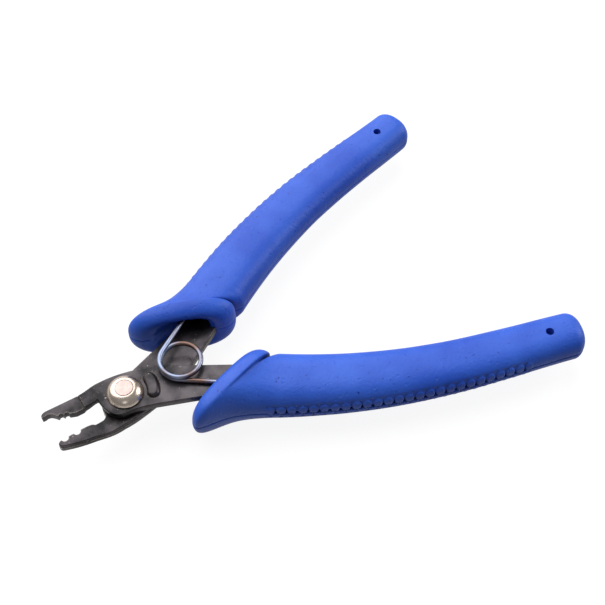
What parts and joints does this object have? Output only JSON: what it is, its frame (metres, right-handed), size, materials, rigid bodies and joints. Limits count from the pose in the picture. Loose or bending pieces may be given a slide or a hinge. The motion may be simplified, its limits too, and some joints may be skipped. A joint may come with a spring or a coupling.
{
  "type": "bead crimping pliers",
  "caption": "Small spring-opened crimping pliers: two lapped steel plates on a domed rivet, notched jaws, coil return spring and flanged moulded plastic grips.",
  "frame": {"origin": "on the pivot axis, at the flat end of the rivet's rear head", "axes": "+X from the pivot towards the handles, midway between them when open, with the jaws pointing to -X; +Y towards the back half's handle; +Z out of the front face, along the rivet"},
  "size_m": [0.1263, 0.0922, 0.0168],
  "materials": {
    "black_steel": "satin black oxide with bright worn edges",
    "rivet_nickel": "polished nickel, slightly warm",
    "spring_steel": "drawn wire with blue and brown heat tint",
    "blue_grip": "matte royal blue, finely pebbled"
  },
  "bodies": {
    "front_half": {"front_blade": "black_steel", "front_grip": "blue_grip", "pivot_rivet": "rivet_nickel", "rivet_collar": "rivet_nickel", "return_spring": "spring_steel"},
    "back_half": {"back_blade": "black_steel", "back_grip": "blue_grip"}
  },
  "joints": [
    {"name": "jaw_pivot", "type": "hinge", "parent": "front_half", "child": "back_half", "pos_m": [0, 0, 0], "axis": [0, 0, -1], "range_deg": [0, 19.5], "stiffness_Nm_per_rad": 0.3, "deforming": ["return_spring"]}
  ]
}
